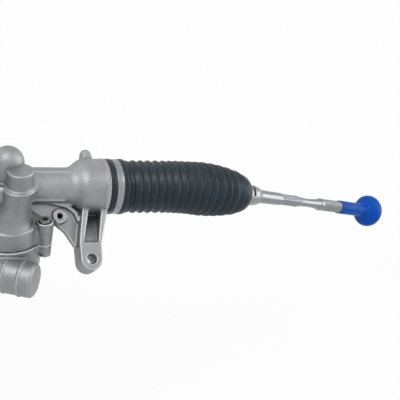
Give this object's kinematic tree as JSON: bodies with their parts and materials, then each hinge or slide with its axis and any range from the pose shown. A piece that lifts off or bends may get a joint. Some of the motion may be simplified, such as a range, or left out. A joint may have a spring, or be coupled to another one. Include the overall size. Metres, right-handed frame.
{
  "type": "electric power steering rack",
  "caption": "Dual-pinion electric steering rack: cast housings with mounting lugs, sliding rack, bellows, ball-jointed tie rods and a worm-geared assist motor.",
  "frame": {"origin": "midway between the two mounting bolt holes, on the face that rests on the subframe", "axes": "+X along the rack toward the assist end, +Z along the mounting bolts away from the subframe"},
  "size_m": [1.3934, 0.1612, 0.2652],
  "materials": {
    "cast_aluminium": "die cast, lightly blasted",
    "tube_aluminium": "drawn tube",
    "motor_shell": "black coated steel",
    "stator_iron": "laminations",
    "ground_steel": "ground",
    "bearing_steel": "ground rings",
    "zinc_steel": "zinc plated",
    "band_steel": "rolled stainless strip",
    "screw_steel": "zinc plated",
    "guide_metal": "turned",
    "spring_steel": "oiled spring steel",
    "boot_rubber": "moulded elastomer",
    "seal_rubber": "moulded rubber",
    "bush_plastic": "moulded acetal",
    "gear_nylon": "hobbed nylon",
    "socket_plastic": "glass-filled nylon",
    "cap_plastic": "moulded polyethylene"
  },
  "bodies": {
    "housing": {"rack_housing_right": "cast_aluminium", "rack_tube": "tube_aluminium", "rack_housing_left": "cast_aluminium", "worm_housing": "cast_aluminium", "housing_screws": "screw_steel", "motor_case": "motor_shell", "motor_stator": "stator_iron", "motor_end_cover": "cast_aluminium", "motor_socket": "socket_plastic", "motor_screws": "screw_steel", "assist_needle_bearing": "bearing_steel", "assist_ball_bearing": "bearing_steel", "worm_bearings": "bearing_steel", "assist_guide_block": "guide_metal", "assist_guide_springs": "spring_steel", "assist_guide_plug": "guide_metal", "drive_guide_block": "guide_metal", "drive_guide_springs": "spring_steel", "drive_guide_plug": "guide_metal", "sensor_cover": "cast_aluminium", "drive_screws": "screw_steel", "sensor_stator": "stator_iron", "sensor_socket": "socket_plastic", "drive_needle_bearing": "bearing_steel", "drive_ball_bearing": "bearing_steel", "input_bearing": "bearing_steel", "input_seal": "seal_rubber", "rack_bushes": "bush_plastic", "bump_stops": "seal_rubber", "boot_right": "boot_rubber", "boot_left": "boot_rubber", "boot_band_right": "band_steel", "boot_band_left": "band_steel"},
    "rack": {"rack_bar": "ground_steel", "ball_housing_right": "zinc_steel", "ball_housing_left": "zinc_steel"},
    "seat_right": {"ball_seat_right": "bush_plastic"},
    "seat_left": {"ball_seat_left": "bush_plastic"},
    "rod_right": {"tie_rod_right": "zinc_steel", "boot_clip_right": "band_steel"},
    "rod_left": {"tie_rod_left": "zinc_steel", "boot_clip_left": "band_steel"},
    "cap_right": {"thread_cap_right": "cap_plastic"},
    "cap_left": {"thread_cap_left": "cap_plastic"},
    "input": {"drive_pinion": "ground_steel", "torsion_bar": "ground_steel", "input_shaft": "ground_steel", "sensor_rotor": "stator_iron"},
    "assist": {"assist_pinion": "ground_steel", "worm_wheel_hub": "guide_metal", "worm_wheel_rim": "gear_nylon"},
    "worm": {"worm_shaft": "ground_steel", "motor_rotor": "stator_iron", "shaft_coupling": "guide_metal"}
  },
  "joints": [
    {"name": "rack_slide", "type": "slide", "parent": "housing", "child": "rack", "axis": [1, 0, 0], "range_m": [-0.07, 0.07], "deforming": ["boot_right", "boot_left"]},
    {"name": "input_spin", "type": "hinge", "parent": "housing", "child": "input", "pos_m": [-0.172, 0.06309, 0.00684], "axis": [0.2588, -0.3304, 0.9077], "range_deg": [-485, 485]},
    {"name": "assist_spin", "type": "hinge", "parent": "housing", "child": "assist", "pos_m": [0.175, 0.06684, 0.02528], "axis": [-0.1478, 0.6745, 0.7233], "range_deg": [-497, 497]},
    {"name": "worm_spin", "type": "hinge", "parent": "housing", "child": "worm", "pos_m": [0.16515, -0.00504, -0.00856], "axis": [0.8102, -0.3369, 0.4797], "range_deg": [-9430, 9430]},
    {"name": "rod_drop_right", "type": "hinge", "parent": "rack", "child": "seat_right", "pos_m": [0.3804, 0.08, 0.013], "axis": [0, 1, 0], "range_deg": [-55, 5]},
    {"name": "rod_sweep_right", "type": "hinge", "parent": "seat_right", "child": "rod_right", "pos_m": [0.3804, 0.08, 0.013], "axis": [0.4226, 0, 0.9063], "range_deg": [-16.85, 13.15]},
    {"name": "cap_pull_right", "type": "slide", "parent": "rod_right", "child": "cap_right", "axis": [0.9058, 0.0323, -0.4224], "range_m": [0, 0.1]},
    {"name": "rod_drop_left", "type": "hinge", "parent": "rack", "child": "seat_left", "pos_m": [-0.3804, 0.08, 0.013], "axis": [0, -1, 0], "range_deg": [-55, 5]},
    {"name": "rod_sweep_left", "type": "hinge", "parent": "seat_left", "child": "rod_left", "pos_m": [-0.3804, 0.08, 0.013], "axis": [0.4226, 0, -0.9063], "range_deg": [-16.85, 13.15]},
    {"name": "cap_pull_left", "type": "slide", "parent": "rod_left", "child": "cap_left", "axis": [-0.9058, 0.0323, -0.4224], "range_m": [0, 0.1]}
  ],
  "couplings": [
    {"joint": "input_spin", "follows": "rack_slide", "rad_per_m": -120.74},
    {"joint": "assist_spin", "follows": "rack_slide", "rad_per_m": -123.63},
    {"joint": "worm_spin", "follows": "rack_slide", "rad_per_m": 2348.9}
  ]
}
